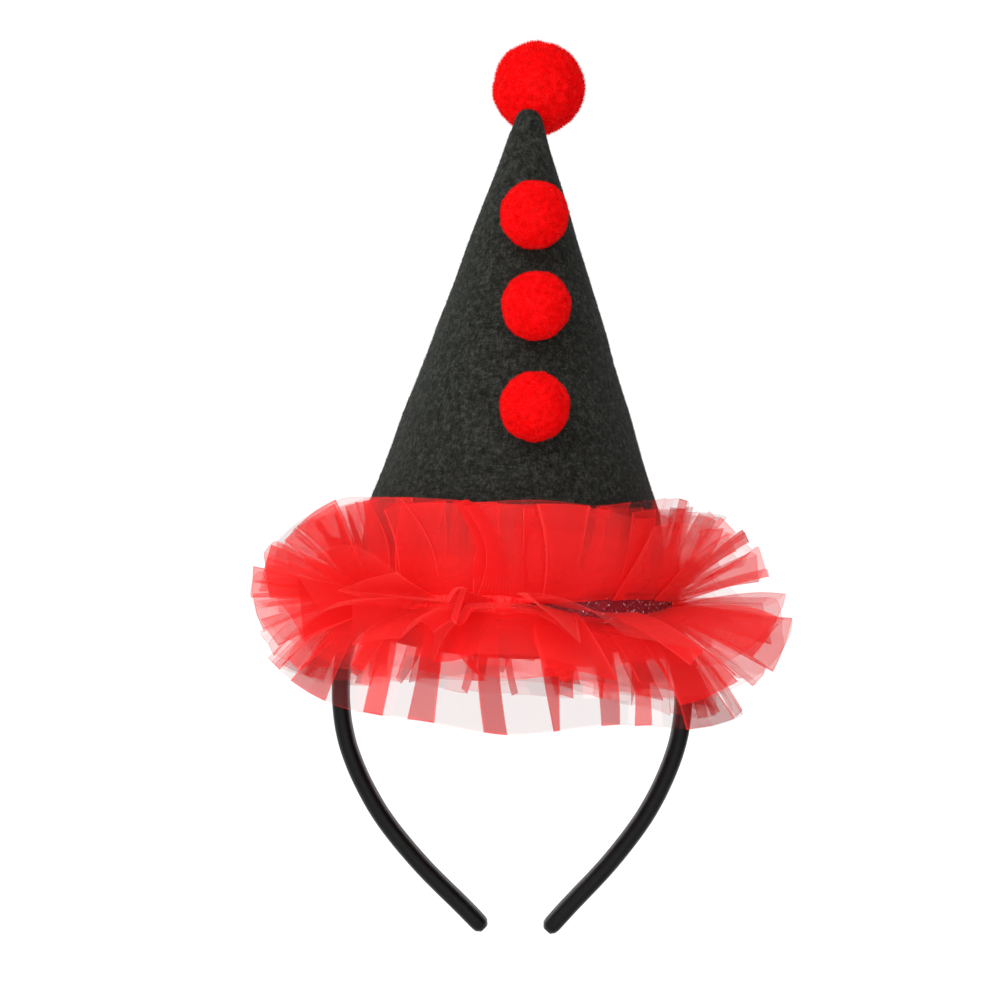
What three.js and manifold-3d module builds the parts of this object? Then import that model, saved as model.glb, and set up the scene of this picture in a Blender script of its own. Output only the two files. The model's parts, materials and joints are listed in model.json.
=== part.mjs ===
// A clown hat on a headband: a felt cone with a tulle ruffle and pompoms, standing on a satin-covered band.
// Millimetres, +Z up, the face looks along -Y. The origin is where the crown of the head meets the band.
import * as THREE from "three";
import { mergeVertices } from "three/addons/utils/BufferGeometryUtils.js";
import Module from "manifold-3d";

const wasm = await Module();
wasm.setup();

const FULL_TURN = 2 * Math.PI;
const radians = THREE.MathUtils.degToRad;
const lerp = THREE.MathUtils.lerp;

// Headband, on the line down the middle of its thickness
const BAND_HALF_SPAN = 61.7;
const BAND_DROP = 134;
const BAND_THICKNESS = 6.2;
const BAND_WIDTH = 9.5;
const BAND_LEFT_LEG_SHORTER = 1.2;
// Both legs swing towards the wearer's left on their way down: by this at the tips, and as this power of the drop
const BAND_TIPS_ASIDE = 1.7;
const BAND_ASIDE_POWER = 3;
const BAND_STEPS = 43;
const BAND_SIDES = 10;
const BAND_SECTION_POWER = 2.6;
const BAND_TIP_LENGTH = 4;
const BAND_TIP_SHARE = 0.55;

// Felt hat
const HAT_HEIGHT = 194.5;
const HAT_RIM_RADIUS = 57.6;
const HAT_RIM_BELOW_SEAT = 30;
const HAT_RIM_SADDLE = 7;
const HAT_LEAN = radians(2.15);
const FELT_WALL = 1.8;
const FELT_COLUMNS = 32;
const TIP_DOME = 0.35;
const SEAM_BLEND = 9;

// Ruffle
const TULLE_WALL = 1;
const GATHER_BAND_HEIGHT = 9;
const GATHER_BAND_WALL = 1.2;
const GATHER_BAND_BELOW_SEAT = 17;
const GATHER_BAND_COLUMNS = 38;
const LEAF_LENGTH = 43;
const FOLD_DEPTH = 7;
const FOLD_DEPTH_AT_GATHER = 0.4;
const FOLDS = 14;
const POINTS_PER_FOLD = 6;
const TULLE_ROWS = 4;
// How the folds deepen and lap from gather to hem: the power of the share of the way
const FOLD_POWER = 1.4;
// How uneven the folds are: shares of a fold, of the lap, of the depth and of the length, and degrees
const UNEVEN = { place: 0.35, lap: 0.3, depth: 0.25, length: 0.03, lift: 2 };

// Pompoms
const FRONT_POMPOM_RADIUS = 12.2;
const TIP_POMPOM_RADIUS = 16.3;
const POMPOM_SINK = 3.4;
const LOCK_DEPTH = 1;
const LOCKS = 46;
const POMPOM_DETAIL = 4;

// Room left between pieces that are glued, sewn or pressed together on the real thing
const SEAT_GAP = 0.3;

// Half of the headband from the crown to a tip: shares of the half span and of the drop
const BAND_LINE = [
  { out: 0, down: 0 },
  { out: 0.26, down: 0.008 },
  { out: 0.5, down: 0.035 },
  { out: 0.7, down: 0.08 },
  { out: 0.85, down: 0.139 },
  { out: 0.95, down: 0.21 },
  { out: 1, down: 0.33 },
  { out: 0.985, down: 0.453 },
  { out: 0.925, down: 0.551 },
  { out: 0.784, down: 0.681 },
  { out: 0.569, down: 0.811 },
  { out: 0.3, down: 0.94 },
  { out: 0.177, down: 1 },
];

// The felt from rim to tip: shares of the hat's height and of the rim's radius
const HAT_SECTIONS = [
  { height: 0, radius: 1 },
  { height: 0.095, radius: 0.966 },
  { height: 0.19, radius: 0.942 },
  { height: 0.262, radius: 0.91 },
  { height: 0.36, radius: 0.792 },
  { height: 0.6, radius: 0.518 },
  { height: 0.76, radius: 0.335 },
  { height: 0.952, radius: 0.117 },
  { height: 0.982, radius: 0.085 },
];
const HAT_TIP = { height: 1, radius: 0.052 };

// The lapped seam down the back: degrees past the middle of the back, and shares of a felt wall
const SEAM = [
  { turn: -7 - SEAM_BLEND, outer: 0, inner: 0 },
  { turn: -7, outer: 1, inner: 1 },
  { turn: -6.6, outer: 1, inner: 0 },
  { turn: 6.6, outer: 1, inner: 0 },
  { turn: 7, outer: 0, inner: 0 },
];

// The leaves of tulle: where each starts on the gather band (share of its height), how steeply it leaves
// the band and reaches its hem (degrees above level), its length and fold depth (shares of the largest),
// and how far its folds lap and are turned (shares of a fold)
const LEAVES = [
  { name: "tulle_upper_inner", start: 1, from: 84, to: 74, length: 0.71, depth: 0.45, lap: 0.13, turn: 0.1 },
  { name: "tulle_upper_outer", start: 0.72, from: 44, to: 26, length: 0.88, depth: 0.93, lap: 0.16, turn: 0.6 },
  { name: "tulle_middle", start: 0.46, from: 4, to: -3, length: 1, depth: 0.86, lap: 0.18, turn: 0.3 },
  { name: "tulle_lower_outer", start: 0.22, from: -30, to: -40, length: 0.93, depth: 1, lap: 0.2, turn: 0.85 },
  { name: "tulle_lower_inner", start: -0.04, from: -64, to: -72, length: 0.88, depth: 0.6, lap: 0.14, turn: 0.45 },
];
// The height on the gather band that the leaves part from, where they leave some of it bare
const PARTING = 0.6;

// How the ruffle varies round the hat, from the front by way of the wearer's left, in degrees: the lift of the
// middle leaf in degrees, the length of all leaves as a share, and how far the leaves part
const ROUND_THE_HAT = [
  { azimuth: 0, lift: 4, reach: 1, parting: 0.4 },
  { azimuth: 45, lift: -12, reach: 0.94, parting: 1.2 },
  { azimuth: 90, lift: -3, reach: 1.02, parting: 0.2 },
  { azimuth: 135, lift: 0, reach: 1, parting: 0 },
  { azimuth: 180, lift: 5, reach: 0.98, parting: 0 },
  { azimuth: 225, lift: 0, reach: 0.98, parting: 0 },
  { azimuth: 270, lift: 0, reach: 0.81, parting: 0 },
  { azimuth: 315, lift: 18, reach: 0.92, parting: 0 },
];

// The small pompoms: heights over the rim as shares of the hat's height, and degrees round from the front
const FRONT_POMPOMS = [
  { name: "pompom_front_top", height: 0.795, azimuth: 7 },
  { name: "pompom_front_middle", height: 0.627, azimuth: 7.5 },
  { name: "pompom_front_bottom", height: 0.445, azimuth: 6.5 },
];
// The large pompom sits behind the felt tip, which presses into it: shares of the pompom's radius
const TIP_POMPOM = { name: "pompom_tip", aside: 0.2, behind: 0.64, over: 0.59 };

const FELT_BLACK = new THREE.MeshStandardMaterial({ color: 0x22251f, roughness: 0.95, metalness: 0 });
const SATIN_BLACK = new THREE.MeshStandardMaterial({ color: 0x0b0b0c, roughness: 0.42, metalness: 0 });
const POMPOM_RED = new THREE.MeshStandardMaterial({ color: 0xe60a10, roughness: 0.9, metalness: 0 });
const TULLE_RED = new THREE.MeshStandardMaterial({ color: 0xf01820, roughness: 0.8, metalness: 0 });
const GLITTER_MAROON = new THREE.MeshStandardMaterial({ color: 0x5a0c14, roughness: 0.4, metalness: 0.2 });

// Turns rings of points into a closed skin. The rings have equal counts, and one of equal points is a pole.
// Rising says of a ring and a column which way the four-sided face there is split.
function skin(rings, closed, rising = () => true) {
  const around = rings[0].length;
  const corners = [];
  const last = closed ? rings.length : rings.length - 1;
  for (let i = 0; i < last; i++) {
    const low = rings[i];
    const high = rings[(i + 1) % rings.length];
    for (let j = 0; j < around; j++) {
      const k = (j + 1) % around;
      if (rising(i, j)) corners.push(low[j], low[k], high[k], low[j], high[k], high[j]);
      else corners.push(low[j], low[k], high[j], low[k], high[k], high[j]);
    }
  }
  return tidied(new THREE.BufferGeometry().setFromPoints(corners));
}

// The geometry with its shared corners merged and its empty triangles left out
function tidied(geometry) {
  const bare = new THREE.BufferGeometry().setAttribute("position", geometry.getAttribute("position"));
  const merged = mergeVertices(geometry.index ? bare.setIndex(geometry.index) : bare, 1e-4);
  const kept = [];
  const index = merged.index.array;
  for (let i = 0; i < index.length; i += 3) {
    const [a, b, c] = [index[i], index[i + 1], index[i + 2]];
    if (a !== b && b !== c && c !== a) kept.push(a, b, c);
  }
  return merged.setIndex(kept);
}

function solidOf(geometry) {
  return new wasm.Manifold(
    new wasm.Mesh({
      numProp: 3,
      vertProperties: new Float32Array(geometry.getAttribute("position").array),
      triVerts: new Uint32Array(geometry.index.array),
    }),
  );
}

function geometryOf(solid) {
  const { vertProperties, triVerts } = solid.getMesh();
  return new THREE.BufferGeometry()
    .setAttribute("position", new THREE.BufferAttribute(new Float32Array(vertProperties), 3))
    .setIndex(new THREE.BufferAttribute(new Uint32Array(triVerts), 1));
}

// Cuts the tools from a geometry and keeps the largest body that is left
function cut(geometry, tools) {
  const left = tools.reduce((solid, tool) => solid.subtract(solidOf(tool)), solidOf(geometry));
  const bodies = left.decompose().sort((a, b) => b.volume() - a.volume());
  return geometryOf(bodies[0]);
}

// A value from a table whose rows go once round the hat, eased between rows
function roundTheHat(azimuth, column) {
  const step = 360 / ROUND_THE_HAT.length;
  const place = ((azimuth / step) % ROUND_THE_HAT.length + ROUND_THE_HAT.length) % ROUND_THE_HAT.length;
  const row = Math.floor(place);
  const share = THREE.MathUtils.smoothstep(place - row, 0, 1);
  return lerp(ROUND_THE_HAT[row][column], ROUND_THE_HAT[(row + 1) % ROUND_THE_HAT.length][column], share);
}

// The headband's middle line as a smooth curve from the left tip to the right tip
function bandCurve() {
  const crown = BAND_THICKNESS / 2;
  const point = (side, { out, down }) => {
    const aside = BAND_TIPS_ASIDE * down ** BAND_ASIDE_POWER;
    return new THREE.Vector3(side * out * BAND_HALF_SPAN + aside, 0, crown - down * BAND_DROP);
  };
  const left = BAND_LINE.slice(1).reverse().map((row) => point(-1, row));
  const right = BAND_LINE.map((row) => point(1, row));
  return new THREE.CatmullRomCurve3([...left, ...right], false, "centripetal");
}

// The headband, made thicker all round by grown, which the cuts in its neighbours use
function headbandGeometry(grown = 0) {
  const curve = bandCurve();
  const length = curve.getLength();
  const begin = BAND_LEFT_LEG_SHORTER / length;
  const rings = [];
  for (let i = 0; i <= BAND_STEPS; i++) {
    const share = lerp(begin, 1, i / BAND_STEPS);
    const fromEnd = Math.min(share - begin, 1 - share) * length;
    const taper = Math.sqrt(Math.max(0, 1 - (1 - Math.min(1, fromEnd / BAND_TIP_LENGTH)) ** 2));
    const tip = lerp(BAND_TIP_SHARE, 1, taper);
    const middle = curve.getPointAt(share);
    const along = curve.getTangentAt(share);
    const outward = new THREE.Vector3(-along.z, 0, along.x);
    const ring = [];
    for (let j = 0; j < BAND_SIDES; j++) {
      const angle = (FULL_TURN * j) / BAND_SIDES;
      const [c, s] = [Math.cos(angle), Math.sin(angle)];
      const across = Math.sign(c) * Math.abs(c) ** (2 / BAND_SECTION_POWER) * (BAND_WIDTH / 2) * tip;
      const up = Math.sign(s) * Math.abs(s) ** (2 / BAND_SECTION_POWER) * (BAND_THICKNESS / 2) * tip;
      const offset = outward.clone().multiplyScalar(up + Math.sign(up) * grown * Math.abs(s));
      offset.y += across + grown * c;
      ring.push(middle.clone().add(offset));
    }
    rings.push(ring);
  }
  const pole = (ring) => {
    const centre = ring.reduce((sum, p) => sum.add(p), new THREE.Vector3()).divideScalar(ring.length);
    return ring.map(() => centre);
  };
  return skin([pole(rings[0]), ...rings, pole(rings[rings.length - 1])], false);
}

// The outer radius of the felt at a height over the head seat
function hatRadius(z) {
  const share = (z + HAT_RIM_BELOW_SEAT) / HAT_HEIGHT;
  const rows = [...HAT_SECTIONS, HAT_TIP];
  const at = Math.max(1, rows.findIndex((row) => row.height >= share));
  const [low, high] = [rows[at - 1], rows[at]];
  return lerp(low.radius, high.radius, (share - low.height) / (high.height - low.height)) * HAT_RIM_RADIUS;
}

// The directions of the felt's columns, with those of the seam among them
function feltColumns() {
  const clear = 360 - (SEAM[SEAM.length - 1].turn - SEAM[0].turn);
  const columns = SEAM.map(({ turn, outer, inner }) => ({ azimuth: 180 + turn, outer, inner }));
  const start = 180 + SEAM[SEAM.length - 1].turn;
  for (let i = 1; i < FELT_COLUMNS; i++) {
    columns.push({ azimuth: start + (clear * i) / FELT_COLUMNS, outer: 0, inner: 0 });
  }
  return columns;
}

// A point at a radius and height, azimuth degrees round from the front towards the wearer's left (+X)
function roundPoint(radius, azimuth, z) {
  const angle = radians(azimuth);
  return new THREE.Vector3(radius * Math.sin(angle), -radius * Math.cos(angle), z);
}

function feltHeight(share, azimuth) {
  const saddle = share > 0 ? 0 : HAT_RIM_SADDLE * Math.sin(radians(azimuth)) ** 2;
  return share * HAT_HEIGHT - HAT_RIM_BELOW_SEAT + saddle;
}

// The outside of the felt as rings from rim to tip, made larger all round by grown
function feltOutside(columns, grown) {
  const rings = [...HAT_SECTIONS, HAT_TIP].map(({ height, radius }) =>
    columns.map(({ azimuth, outer }) => {
      const z = feltHeight(height, azimuth);
      const lap = outer * FELT_WALL * Math.min(1, 3 * radius);
      return roundPoint(hatRadius(z) + lap + grown, azimuth, z);
    }),
  );
  const top = new THREE.Vector3(0, 0, feltHeight(1, 0) + HAT_TIP.radius * HAT_RIM_RADIUS * TIP_DOME + grown);
  return [...rings, columns.map(() => top)];
}

// The felt cone: its outside from rim to tip, then its inside back down to the rim
function hatConeGeometry() {
  const columns = feltColumns();
  const inside = HAT_SECTIONS.map(({ height, radius }) =>
    columns.map(({ azimuth, inner }) => {
      const z = feltHeight(height, azimuth);
      const wall = FELT_WALL * (1 - inner * Math.min(1, 3 * radius));
      return roundPoint(hatRadius(z) - wall, azimuth, z);
    }),
  ).reverse();
  const peak = new THREE.Vector3(0, 0, inside[0][0].z + FELT_WALL);
  return skin([...feltOutside(columns, 0), columns.map(() => peak), ...inside], true);
}

// The hat filled solid and made larger by grown, which the cuts in its neighbours use
function hatFilled(grown) {
  const columns = feltColumns();
  const bottom = new THREE.Vector3(0, 0, -HAT_RIM_BELOW_SEAT);
  return skin([columns.map(() => bottom), ...feltOutside(columns, grown)], false);
}

// The inner radius of the gather band, clear of the felt
const GATHER_BAND_INNER = hatRadius(-GATHER_BAND_BELOW_SEAT) + 1.5 * SEAT_GAP;
const GATHER_BAND_OUTER = GATHER_BAND_INNER + GATHER_BAND_WALL;

function gatherBandGeometry() {
  const low = -GATHER_BAND_BELOW_SEAT;
  const high = low + GATHER_BAND_HEIGHT;
  const ring = (inside, z) => {
    const list = [];
    for (let j = 0; j < GATHER_BAND_COLUMNS; j++) {
      const azimuth = (360 * j) / GATHER_BAND_COLUMNS;
      const lap = seamLift(azimuth) * FELT_WALL;
      const radius = (inside ? GATHER_BAND_INNER : GATHER_BAND_OUTER) + lap;
      list.push(roundPoint(radius, azimuth, z));
    }
    return list;
  };
  return skin([ring(false, low), ring(false, high), ring(true, high), ring(true, low)], true);
}

// How far the seam lifts what is wrapped over it, from 0 to 1
function seamLift(azimuth) {
  const reach = -SEAM[0].turn;
  return 1 - THREE.MathUtils.smoothstep(Math.abs(azimuth - 180), reach, reach + SEAM_BLEND);
}

// A slow, uneven wave round the hat that keeps the folds from being alike
function waver(share, seed) {
  const angle = FULL_TURN * share;
  return (
    0.5 * Math.sin(3 * angle + 5.1 * seed) +
    0.3 * Math.sin(5 * angle + 9.7 * seed + 1) +
    0.2 * Math.sin(11 * angle + 3.3 * seed + 2)
  );
}

// How far a strip that bends evenly gets: its run along and its rise, from its length and slopes in radians
function bentRun(length, begin, end) {
  const bend = end - begin;
  if (Math.abs(bend) < 1e-4) return { out: length * Math.cos(begin), up: length * Math.sin(begin) };
  return {
    out: (length * (Math.sin(end) - Math.sin(begin))) / bend,
    up: (length * (Math.cos(begin) - Math.cos(end))) / bend,
  };
}

// Where a leaf starts: its radius and its height, clear of the gather band and of the leaves beside it
function leafStart(leaf, azimuth) {
  const clear = SEAT_GAP + TULLE_WALL / 2 + FOLD_DEPTH_AT_GATHER;
  const share = PARTING + (leaf.start - PARTING) * (1 + roundTheHat(azimuth, "parting"));
  return {
    radius: GATHER_BAND_OUTER + clear + seamLift(azimuth) * FELT_WALL,
    height: share * GATHER_BAND_HEIGHT - GATHER_BAND_BELOW_SEAT,
  };
}

// The middle surface of a leaf of tulle at a share of the way round and a share of the way to the hem
function leafPoint(leaf, seed, round, reach) {
  const fold = FULL_TURN * (FOLDS * round + leaf.turn);
  const lap = leaf.lap * (1 + UNEVEN.lap * waver(round, seed + 1)) * reach ** FOLD_POWER;
  const place = UNEVEN.place * waver(round, seed + 2) * reach;
  const turned = round + (place - lap * Math.sin(2 * fold)) / FOLDS;
  const azimuth = 360 * turned;
  const isMiddle = leaf.name === "tulle_middle";
  const tilt = isMiddle ? roundTheHat(azimuth, "lift") : UNEVEN.lift * waver(turned, seed + 3);
  const lengthShare = roundTheHat(azimuth, "reach") + UNEVEN.length * waver(turned, seed + 4);
  const begin = radians(leaf.from + tilt / 2);
  const end = begin + radians(leaf.to - leaf.from + tilt / 2) * reach;
  const run = bentRun(reach * LEAF_LENGTH * leaf.length * lengthShare, begin, end);
  const hemDepth = FOLD_DEPTH * leaf.depth * (1 + UNEVEN.depth * waver(round, seed + 5));
  const depth = lerp(FOLD_DEPTH_AT_GATHER, hemDepth, reach ** FOLD_POWER) * Math.sin(fold);
  const start = leafStart(leaf, azimuth);
  const radius = start.radius + run.out - depth * Math.sin(end);
  return roundPoint(radius, azimuth, start.height + run.up + depth * Math.cos(end));
}

// One leaf of tulle as a thin folded wall
function leafGeometry(leaf, seed) {
  const columns = FOLDS * POINTS_PER_FOLD;
  const grid = [];
  for (let i = 0; i < TULLE_ROWS; i++) {
    const row = [];
    for (let j = 0; j < columns; j++) row.push(leafPoint(leaf, seed, j / columns, i / (TULLE_ROWS - 1)));
    grid.push(row);
  }
  const way = (from, to) => to.clone().sub(from).normalize();
  const normal = (i, j) => {
    const here = grid[i][j];
    const round = way(grid[i][(j + columns - 1) % columns], here).add(way(here, grid[i][(j + 1) % columns]));
    const out = way(grid[Math.max(i - 1, 0)][j], here).add(way(here, grid[Math.min(i + 1, TULLE_ROWS - 1)][j]));
    return out.cross(round).normalize();
  };
  const side = (sign) =>
    grid.map((row, i) => row.map((p, j) => p.clone().addScaledVector(normal(i, j), (sign * TULLE_WALL) / 2)));
  // Both sides are split along the same lines, the shorter ones, so that the thin wall never crosses itself
  const rising = (ring, j) => {
    const goesBack = ring >= TULLE_ROWS;
    const i = goesBack ? 2 * TULLE_ROWS - 2 - ring : ring;
    if (i < 0 || i === TULLE_ROWS - 1) return true;
    const k = (j + 1) % columns;
    const [below, above] = [grid[i], grid[i + 1]];
    return below[j].distanceTo(above[k]) < below[k].distanceTo(above[j]) !== goesBack;
  };
  return skin([...side(-1), ...side(1).reverse()], true, rising);
}

// The middles of the locks, spread evenly over a ball by the golden angle
const LOCK_MIDDLES = Array.from({ length: LOCKS }, (_, i) => {
  const up = 1 - (2 * i + 1) / LOCKS;
  const turn = i * Math.PI * (3 - Math.sqrt(5));
  const out = Math.sqrt(1 - up * up);
  return new THREE.Vector3(out * Math.cos(turn), out * Math.sin(turn), up);
});

// A pompom: rounded locks fused to a ball, cut where it presses on the felt
function pompomGeometry(radius, centre) {
  const ball = tidied(new THREE.IcosahedronGeometry(radius, POMPOM_DETAIL));
  const points = ball.getAttribute("position");
  const lockSpread = 2 / Math.sqrt(LOCKS);
  const p = new THREE.Vector3();
  for (let i = 0; i < points.count; i++) {
    p.fromBufferAttribute(points, i);
    const nearest = Math.min(...LOCK_MIDDLES.map((middle) => middle.angleTo(p)));
    p.setLength(radius - LOCK_DEPTH * Math.min(1, (nearest / lockSpread) ** 2)).add(centre);
    points.setXYZ(i, p.x, p.y, p.z);
  }
  return cut(ball, [hatFilled(SEAT_GAP)]);
}

function mesh(name, geometry, material) {
  const made = new THREE.Mesh(geometry, material);
  made.name = name;
  return made;
}

const part = new THREE.Group();
part.add(mesh("headband", headbandGeometry(), SATIN_BLACK));

// The hat leans a little to the wearer's left, so the band's cut is turned back into the hat's own frame
const hat = new THREE.Group();
hat.rotation.y = HAT_LEAN;
hat.updateMatrixWorld(true);
const intoHat = hat.matrixWorld.clone().invert();
const bandCut = headbandGeometry(SEAT_GAP + 0.1).applyMatrix4(intoHat);
const notch = new THREE.BoxGeometry(
  2 * (HAT_RIM_RADIUS + FELT_WALL * 2),
  BAND_WIDTH + 2 * SEAT_GAP,
  HAT_RIM_BELOW_SEAT,
).translate(0, 0, -GATHER_BAND_BELOW_SEAT - HAT_RIM_BELOW_SEAT / 2);

hat.add(mesh("hat_cone", cut(hatConeGeometry(), [bandCut, tidied(notch)]), FELT_BLACK));
hat.add(mesh("gather_band", cut(gatherBandGeometry(), [bandCut]), GLITTER_MAROON));
LEAVES.forEach((leaf, seed) => {
  hat.add(mesh(leaf.name, cut(leafGeometry(leaf, seed), [bandCut]), TULLE_RED));
});
for (const { name, height, azimuth } of FRONT_POMPOMS) {
  const z = height * HAT_HEIGHT - HAT_RIM_BELOW_SEAT;
  const centre = roundPoint(hatRadius(z) + FRONT_POMPOM_RADIUS - POMPOM_SINK, azimuth, z);
  hat.add(mesh(name, pompomGeometry(FRONT_POMPOM_RADIUS, centre), POMPOM_RED));
}
const tipCentre = new THREE.Vector3(TIP_POMPOM.aside, TIP_POMPOM.behind, TIP_POMPOM.over)
  .multiplyScalar(TIP_POMPOM_RADIUS)
  .setZ(HAT_HEIGHT - HAT_RIM_BELOW_SEAT + TIP_POMPOM.over * TIP_POMPOM_RADIUS);
hat.add(mesh(TIP_POMPOM.name, pompomGeometry(TIP_POMPOM_RADIUS, tipCentre), POMPOM_RED));
part.add(hat);

export default part;
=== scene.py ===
"""A clown hat on a headband, dressed for its picture around the fixed frame of its solids.

The felt cone, the tulle ruffle, the pompoms and the satin band are each modelled and finished here.
Everything is in metres in the frame's own axes: +Z up, the wearer faces -Y, +X is the wearer's left.
"""

import json
import logging
import math
from dataclasses import dataclass
from enum import Enum
from typing import Callable, Iterable, Sequence

import bpy
import numpy as np
from mathutils import Matrix, Vector, noise

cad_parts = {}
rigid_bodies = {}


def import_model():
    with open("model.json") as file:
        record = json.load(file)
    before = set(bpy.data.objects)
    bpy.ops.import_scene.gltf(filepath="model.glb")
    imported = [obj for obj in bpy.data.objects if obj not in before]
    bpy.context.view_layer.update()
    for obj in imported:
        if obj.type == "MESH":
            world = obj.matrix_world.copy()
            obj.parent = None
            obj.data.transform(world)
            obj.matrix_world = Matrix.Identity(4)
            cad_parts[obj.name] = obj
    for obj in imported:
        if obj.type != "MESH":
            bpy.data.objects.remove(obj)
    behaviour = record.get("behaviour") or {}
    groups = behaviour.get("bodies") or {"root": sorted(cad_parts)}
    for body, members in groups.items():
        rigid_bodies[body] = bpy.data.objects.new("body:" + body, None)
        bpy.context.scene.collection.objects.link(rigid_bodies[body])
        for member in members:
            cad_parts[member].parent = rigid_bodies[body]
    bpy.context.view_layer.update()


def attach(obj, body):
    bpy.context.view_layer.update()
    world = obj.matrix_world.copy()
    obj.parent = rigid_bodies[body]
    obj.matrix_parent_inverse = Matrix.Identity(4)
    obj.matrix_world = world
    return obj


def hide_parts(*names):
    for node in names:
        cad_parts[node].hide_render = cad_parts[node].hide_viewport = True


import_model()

MM = 0.001
FULL_TURN = 2 * math.pi
Colour = tuple[float, float, float]

HAT_LEAN = math.radians(2.15)
HAT_TURN = Matrix.Rotation(HAT_LEAN, 4, "Y")

log = logging.getLogger("clown_hat")


class Slot(Enum):
    """The record's material slots."""

    SATIN = "satin_black"
    FELT = "felt_black"
    GLITTER = "glitter_maroon"
    TULLE = "tulle_red"
    POMPOM = "pompom_red"


def deselect() -> None:
    """Leaves edit mode and clears the selection."""
    if bpy.context.object and bpy.context.object.mode == "EDIT":
        bpy.ops.object.mode_set(mode="OBJECT")
    bpy.ops.object.select_all(action="DESELECT")


def pick(obj: bpy.types.Object) -> bpy.types.Object:
    """Makes one object the only one selected, and active."""
    deselect()
    obj.select_set(True)
    bpy.context.view_layer.objects.active = obj
    return obj


def select_faces(obj: bpy.types.Object, wanted: Callable[[Vector, Vector], bool]) -> None:
    """Selects faces in edit mode by their place.

    Args:
        obj: The mesh object, which is left in edit mode with face select on.
        wanted: Says of a face's centre and normal whether it is selected.
    """
    pick(obj)
    bpy.ops.object.mode_set(mode="EDIT")
    bpy.ops.mesh.select_mode(type="FACE")
    bpy.ops.mesh.select_all(action="DESELECT")
    bpy.ops.object.mode_set(mode="OBJECT")
    for face in obj.data.polygons:
        face.select = wanted(face.center, face.normal)
    bpy.ops.object.mode_set(mode="EDIT")


def apply_place(obj: bpy.types.Object, turn: Matrix = Matrix.Identity(4)) -> None:
    """Turns an object and puts its whole place into its mesh."""
    obj.matrix_world = turn @ obj.matrix_world
    pick(obj)
    bpy.ops.object.transform_apply(location=True, rotation=True, scale=True)


def apply_modifier(obj: bpy.types.Object, kind: str, **settings: object) -> None:
    """Adds a modifier with its settings and applies it at once."""
    pick(obj)
    modifier = obj.modifiers.new(kind.lower(), kind)
    for setting, value in settings.items():
        setattr(modifier, setting, value)
    bpy.ops.object.modifier_apply(modifier=modifier.name)


def join(objects: Sequence[bpy.types.Object]) -> bpy.types.Object:
    """Joins objects into the first one and returns it."""
    pick(objects[0])
    for other in objects[1:]:
        other.select_set(True)
    bpy.ops.object.join()
    return objects[0]


def smooth(obj: bpy.types.Object, degrees: float) -> None:
    """Shades smooth over edges that turn less than an angle."""
    pick(obj)
    bpy.ops.object.shade_smooth_by_angle(angle=math.radians(degrees))


def mesh_object(name: str, points: np.ndarray, faces: Sequence[Sequence[int]]) -> bpy.types.Object:
    """Returns a new object with the given points and faces, linked to the scene."""
    mesh = bpy.data.meshes.new(name)
    mesh.from_pydata([tuple(p) for p in points], [], [tuple(f) for f in faces])
    mesh.update()
    obj = bpy.data.objects.new(name, mesh)
    bpy.context.scene.collection.objects.link(obj)
    return obj


def number_again(obj: bpy.types.Object) -> None:
    """Numbers an object's points and faces by their place, because extruding numbers them by chance.

    A seeded scatter goes by the numbers of the faces, so it is the same each run only after this.

    Args:
        obj: The object, whose mesh is replaced by one with the same points and faces.
    """
    mesh = obj.data
    points = sorted(tuple(vertex.co) for vertex in mesh.vertices)
    numbers = {point: number for number, point in enumerate(points)}
    faces = []
    for face in mesh.polygons:
        corners = [numbers[tuple(mesh.vertices[corner].co)] for corner in face.vertices]
        first = corners.index(min(corners))
        faces.append(tuple(corners[first:] + corners[:first]))
    fresh = bpy.data.meshes.new(mesh.name)
    fresh.from_pydata(points, [], sorted(faces))
    fresh.update()
    obj.data = fresh
    bpy.data.meshes.remove(mesh)


def dress(obj: bpy.types.Object, *materials: bpy.types.Material) -> None:
    """Gives an object its materials, and with only one material puts all faces on it."""
    obj.data.materials.clear()
    for material in materials:
        obj.data.materials.append(material)
    if len(materials) == 1:
        obj.data.polygons.foreach_set("material_index", [0] * len(obj.data.polygons))


def hand_over(obj: bpy.types.Object, name: str, slot: Slot, nodes: Iterable[str] = ()) -> bpy.types.Object:
    """Names a finished piece, fixes it to the frame and hides the solids that it stands for.

    Args:
        obj: The finished object, with its place in its mesh.
        name: The piece's name.
        slot: The record's material slot; not used.
        nodes: The solids that it replaces.

    Returns:
        The same object.
    """
    obj.name = name
    obj.data.name = name
    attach(obj, "root")
    if nodes:
        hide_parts(*nodes)
    log.info("%s: %d faces", name, len(obj.data.polygons))
    return obj


def round_point(radius: float, azimuth: float, z: float) -> Vector:
    """Returns a point at a radius and height, azimuth radians round from the front towards +X."""
    return Vector((radius * math.sin(azimuth), -radius * math.cos(azimuth), z))


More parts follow.
